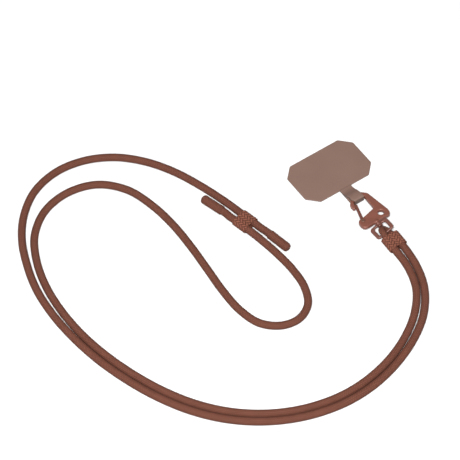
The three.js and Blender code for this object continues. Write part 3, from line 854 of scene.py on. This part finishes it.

# Gate: a sprung steel bar from its eye on the rivet to a tip that lies against the inside of the nose. It
# moves in the plate's slot. Like the pin and the stirrup, it has the plate's paint made darker as painted
# shade.
GATE_TIP = Vector((12.7, -4.3))
GATE_WIDTH, GATE_EYE_RADIUS = 2.3, 2.2
gate_reach = GATE_TIP - Vector(PIVOT)
gate_turn = math.atan2(gate_reach.y, gate_reach.x)
gate_half, eye, reach = GATE_WIDTH / 2, GATE_EYE_RADIUS, gate_reach.length
gate_outline = eased([
    (-eye, -eye, 2), (1.6, -eye, 1.4), (2.6, -gate_half, 0.6), (reach, -gate_half, 0.9),
    (reach, gate_half, 0.9), (2.6, gate_half, 0.6), (1.6, eye, 1.4), (-eye, eye, 2),
])
gate_place = Matrix.Translation((*PIVOT, 0)) @ Matrix.Rotation(gate_turn, 4, "Z")
gate_mesh = cast(
    "gate_bar", moved(cast_slab(gate_outline, GATE_THICKNESS, 0.4, [disc((0, 0), 1.3)]), gate_place), [],
    grain=0.12, easing=3,
)
# The plate's paint made darker, as painted shade, for the gate, the pin and the stirrup.
shaded_paint = satin_paint("shaded_paint", (0.105, 0.037, 0.026), 0.4)
hardware("gate_bar", gate_mesh, "clasp_gate", "gate", shaded_paint)

# Rivet: a steel pin through the lobe and the gate's eye. Its ends are spread over the plate by a punch,
# which leaves a dimple in each.
rivet_top = PLATE_THICKNESS / 2 + FIT + 0.5
rivet_half = [
    (rivet_top - 0.28, 0), (rivet_top - 0.24, 0.35), (rivet_top, 0.75), (rivet_top, 1.15),
    (rivet_top - 0.12, 1.55), (rivet_top - 0.35, 1.8), (rivet_top - 0.5, 1.75), (rivet_top - 0.5, 1.0),
]
rivet_profile = [*[(-x, r) for x, r in rivet_half], *reversed(rivet_half)]
rivet_mesh = moved(turned(rivet_profile), upright_bore)
rivet_paint = satin_paint("rivet_paint", (0.10, 0.045, 0.03), 0.3)
hardware("rivet", rivet_mesh, "gate_rivet", "clasp", rivet_paint)

# Swivel pin: a turned steel pin in the plate's barrel. It goes through the stirrup's eye, and its ribbed
# head keeps the stirrup on.
PIN_START, PIN_NECK_END = 34.3, 40.8
pin_profile = [
    (PIN_START, 0), (PIN_START, PIN_RADIUS), (PIN_NECK_END, PIN_RADIUS), (PIN_NECK_END, 1.9), (40.95, 2.1),
    (41.15, 2.1), (41.25, 1.9), (41.35, 2.1), (41.55, 2.05), (41.68, 1.7), (41.74, 1.0), (41.75, 0),
]
pin_mesh = moved(turned(pin_profile), on_swivel)
hardware("pin", pin_mesh, "swivel_pin", "clasp", shaded_paint)

# Stirrup: a flat cast frame with a ribbed eye for the pin, turned a little about the pin. The bight goes
# round its far bar.
STIRRUP_START, STIRRUP_END = 37.8, 49.6
STIRRUP_LEFT, STIRRUP_RIGHT = 7.8, -8.9
STIRRUP_THICKNESS, STIRRUP_ROUNDING, STIRRUP_CORNER = 1.9, 0.75, 3
STIRRUP_SHOULDER, STIRRUP_ARM, STIRRUP_BAR = 2.2, 3.1, 2
STIRRUP_TURN = math.radians(20)
EYE_RADIUS, EYE_GROOVE, EYE_RIBS, EYE_RIB_PITCH = 2.4, 0.28, 3, 0.88
frame_outline = eased([
    (x, y, STIRRUP_CORNER) for x, y in (
        (STIRRUP_START, STIRRUP_RIGHT), (STIRRUP_END, STIRRUP_RIGHT), (STIRRUP_END, STIRRUP_LEFT),
        (STIRRUP_START, STIRRUP_LEFT),
    )
])
window_left, window_right = STIRRUP_LEFT - STIRRUP_ARM, STIRRUP_RIGHT + STIRRUP_ARM
window_start, window_end = STIRRUP_START + STIRRUP_SHOULDER, STIRRUP_END - STIRRUP_BAR
window = eased([
    (window_start, window_right, 2), (window_end, window_right, 1.4), (window_end, window_left, 1.4),
    (window_start, window_left, 2),
])
eye_profile = [(STIRRUP_START, 0), (STIRRUP_START, 2.1)]
for rib in range(EYE_RIBS):
    rib_start = STIRRUP_START + 0.08 + rib * EYE_RIB_PITCH
    eye_profile += [
        (rib_start, EYE_RADIUS), (rib_start + 0.6, EYE_RADIUS), (rib_start + 0.68, EYE_RADIUS - EYE_GROOVE),
        (rib_start + 0.82, EYE_RADIUS - EYE_GROOVE),
    ]
eye_profile += [(STIRRUP_START + 2.7, 2.0), (STIRRUP_START + 2.7, 0)]
stirrup_mesh = cast("stirrup", cast_slab(frame_outline, STIRRUP_THICKNESS, STIRRUP_ROUNDING, [window]), [
    ("UNION", turned(eye_profile)),
    ("DIFFERENCE", turned([
        (STIRRUP_START - 1, 0), (STIRRUP_START - 1, PIN_RADIUS + FIT),
        (STIRRUP_START + 4, PIN_RADIUS + FIT), (STIRRUP_START + 4, 0),
    ])),
], grain=0.12, easing=2)
stirrup_place = clasp_place @ on_swivel @ Matrix.Rotation(STIRRUP_TURN, 4, "X")
hardware("stirrup", stirrup_mesh, "swivel_stirrup", "strap", shaded_paint, stirrup_place)

# Tether tab: a thin octagonal patch of coated nylon with a neck that doubles back round the clasp's top bar
# and is welded to the patch. The hardware's drawing helpers shape it too, in millimetres on the table.
PATCH_LENGTH, PATCH_WIDTH, PATCH_CHAMFER, PATCH_END = 42.45, 65, 9, -7
TAB_THICKNESS, NECK_WIDTH, LOOP_END = 1, 10.6, 11.3
patch_far, patch_half = PATCH_END - PATCH_LENGTH, PATCH_WIDTH / 2
patch_outline = eased([
    (PATCH_END, -patch_half + PATCH_CHAMFER, 1), (PATCH_END, patch_half - PATCH_CHAMFER, 1),
    (PATCH_END - PATCH_CHAMFER, patch_half, 1), (patch_far + PATCH_CHAMFER, patch_half, 1),
    (patch_far, patch_half - PATCH_CHAMFER, 1), (patch_far, PATCH_CHAMFER - patch_half, 1),
    (patch_far + PATCH_CHAMFER, -patch_half, 1), (PATCH_END - PATCH_CHAMFER, -patch_half, 1),
])
on_table = Matrix.Translation((0, 0, TAB_THICKNESS / 2))
patch_solid = moved(cast_slab(patch_outline, TAB_THICKNESS, 0.3), on_table)
# The neck is drawn as it is seen from the side, with the space for the bar. Its plan narrows it at the loop.
neck_side = eased([
    (PATCH_END - 2, 0, 0.2), (LOOP_END, 0, 2), (LOOP_END, 6.3, 2.2), (4.9, 6.1, 3), (-3.2, 2, 3),
    (PATCH_END, 2, 0.4), (PATCH_END, 1, 0.1), (PATCH_END - 2, 1, 0.2),
])
neck_window = eased([(0.6, 1, 0.1), (LOOP_END - 1, 1, 1), (LOOP_END - 1, 5.3, 1.2), (4.9, 4.9, 1.2)])
neck_plan = eased([
    (PATCH_END - 3, -7, 0.1), (6.6, -7, 0.1), (10.2, -3.9, 0.4), (13, -3.9, 0.1), (13, 7, 0.1),
    (PATCH_END - 3, 7, 0.1),
])
on_edge = Matrix.Rotation(math.radians(90), 4, "X")
neck_solid = moved(cast_slab(neck_side, NECK_WIDTH, 0.2, [neck_window]), on_edge)
neck_mesh = cast("neck", neck_solid, [("INTERSECT", cast_slab(neck_plan, 20))], grain=0.14, easing=12)
tab_mesh = cast("tab", patch_solid, [("UNION", neck_mesh)], grain=0.265, easing=5)
TAB_THREAD = 0.00045


def coated_cloth(name, colour):
    """Matte coated nylon: a fine weave under the coat, faint scuffs, and painted shade on every face turned
    sideways, edges included.
    """
    material = bpy.data.materials.new(name)
    material.use_nodes = True
    tree = material.node_tree
    shader = tree.nodes["Principled BSDF"]
    coordinates = tree.nodes.new("ShaderNodeTexCoord")
    axes = tree.nodes.new("ShaderNodeSeparateXYZ")
    tree.links.new(coordinates.outputs["Object"], axes.inputs[0])
    threads = [
        calculate(tree, "SINE", calculate(tree, "MULTIPLY", axis, 2 * math.pi / TAB_THREAD))
        for axis in axes.outputs[:2]
    ]
    weave = calculate(tree, "MULTIPLY", *threads)
    cloud = noise(tree, 45, 5)
    level = tree.nodes.new("ShaderNodeNewGeometry")
    slope = tree.nodes.new("ShaderNodeSeparateXYZ")
    tree.links.new(level.outputs["Normal"], slope.inputs[0])
    # Painted shade: faces turned away from straight up or down, such as the edges and the neck's loop, are
    # painted darker.
    painted_side_shade = tree.nodes.new("ShaderNodeMapRange")
    painted_side_shade.inputs["From Min"].default_value = 0.3
    painted_side_shade.inputs["From Max"].default_value = 0.95
    painted_side_shade.inputs["To Min"].default_value = 0.55
    tree.links.new(calculate(tree, "ABSOLUTE", slope.outputs[2]), painted_side_shade.inputs["Value"])
    tone = calculate(tree, "MULTIPLY_ADD", cloud, 0.2, 0.9)
    tone = calculate(tree, "MULTIPLY_ADD", weave, 0.02, tone)
    tone = calculate(tree, "MULTIPLY", tone, painted_side_shade.outputs[0])
    tree.links.new(scaled(tree, colour, tone), shader.inputs["Base Color"])
    tree.links.new(calculate(tree, "MULTIPLY_ADD", cloud, 0.15, 0.5), shader.inputs["Roughness"])
    bumped(tree, shader, weave, 0.25, 0.00005)
    shader.inputs["Specular IOR Level"].default_value = 0.4
    return material


tab_mesh.transform(Matrix.Scale(MM, 4))
tab_mesh.materials.clear()
tab_mesh.materials.append(coated_cloth("tab_cloth", (0.126, 0.074, 0.057)))
tab_mesh.shade_smooth()
tab = bpy.data.objects.new("tab", tab_mesh)
scene.collection.objects.link(tab)
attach(tab, "clasp")
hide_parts("tether_tab")

visual_low, visual_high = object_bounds()
size = {"cad": [list(cad_low), list(cad_high)], "visual": [list(visual_low), list(visual_high)]}
